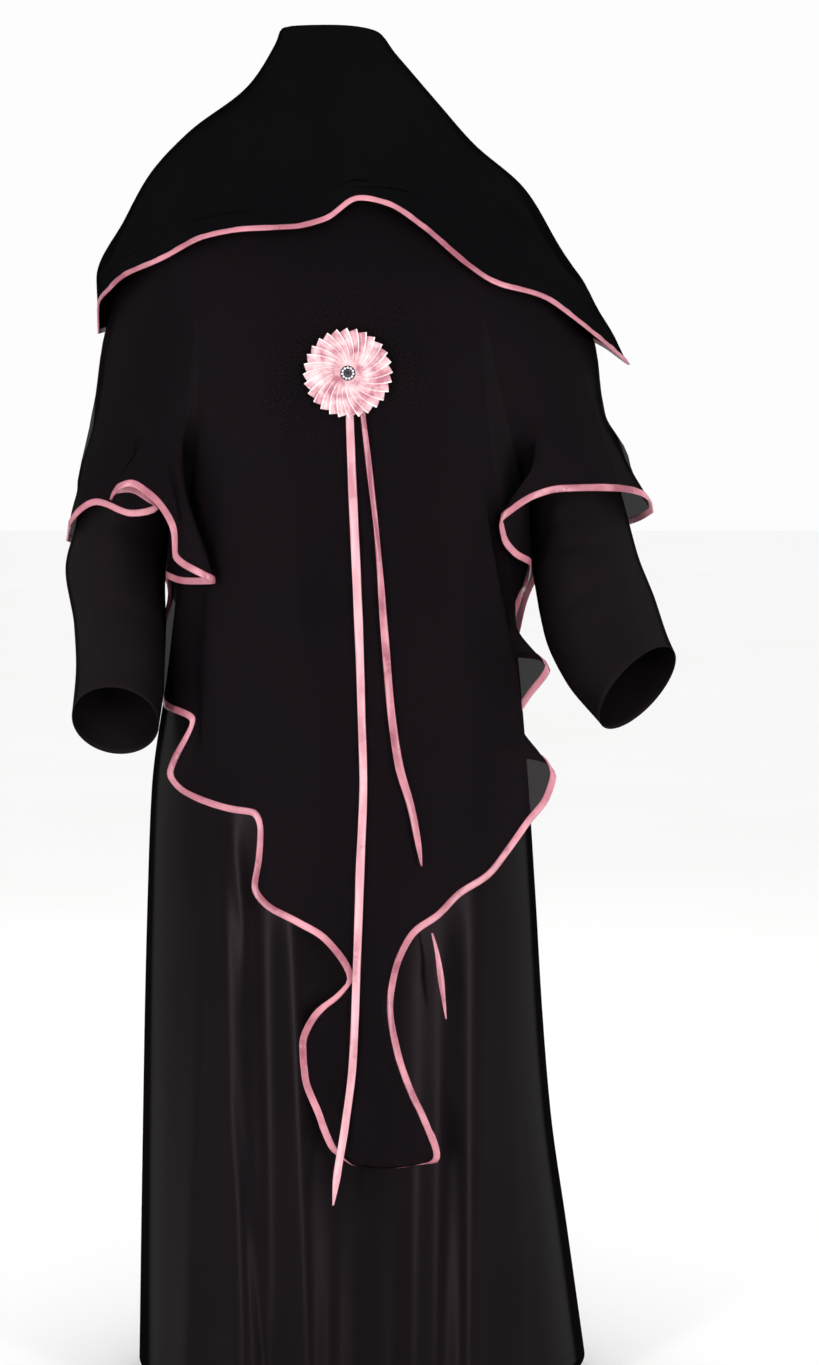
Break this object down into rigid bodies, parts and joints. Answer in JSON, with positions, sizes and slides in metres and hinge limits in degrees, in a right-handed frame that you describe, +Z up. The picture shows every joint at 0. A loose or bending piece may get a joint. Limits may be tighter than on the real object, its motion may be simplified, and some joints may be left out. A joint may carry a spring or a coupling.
{
  "type": "abaya with matching veil",
  "caption": "Floor-length long-sleeved robe with a sheer cape overlay edged in satin ribbon, a matching shoulder veil and a pleated ribbon rosette with hanging tails.",
  "frame": {"origin": "base of the wearer's neck, on the centre line, where the garment is held up", "axes": "+Z up, the wearer faces -Y, +X to the wearer's left (the viewer's right)"},
  "size_m": [0.7207, 0.4521, 1.5892],
  "materials": {
    "crepe": "satin",
    "chiffon": "matte",
    "veil": "matte",
    "ribbon": "satin",
    "rosette": "satin",
    "crystal": "gloss"
  },
  "bodies": {
    "root": {"body_front": "crepe", "body_back": "crepe", "sleeve_left": "crepe", "sleeve_right": "crepe", "overlay_front": "chiffon", "overlay_back": "chiffon", "overlay_front_ribbon": "ribbon", "overlay_back_ribbon": "ribbon", "veil": "veil", "veil_ribbon": "ribbon", "ribbon_tail_long": "ribbon", "ribbon_tail_short": "ribbon", "hem_ribbon_end": "ribbon", "rosette": "rosette", "crystal_button": "crystal"}
  },
  "joints": []
}
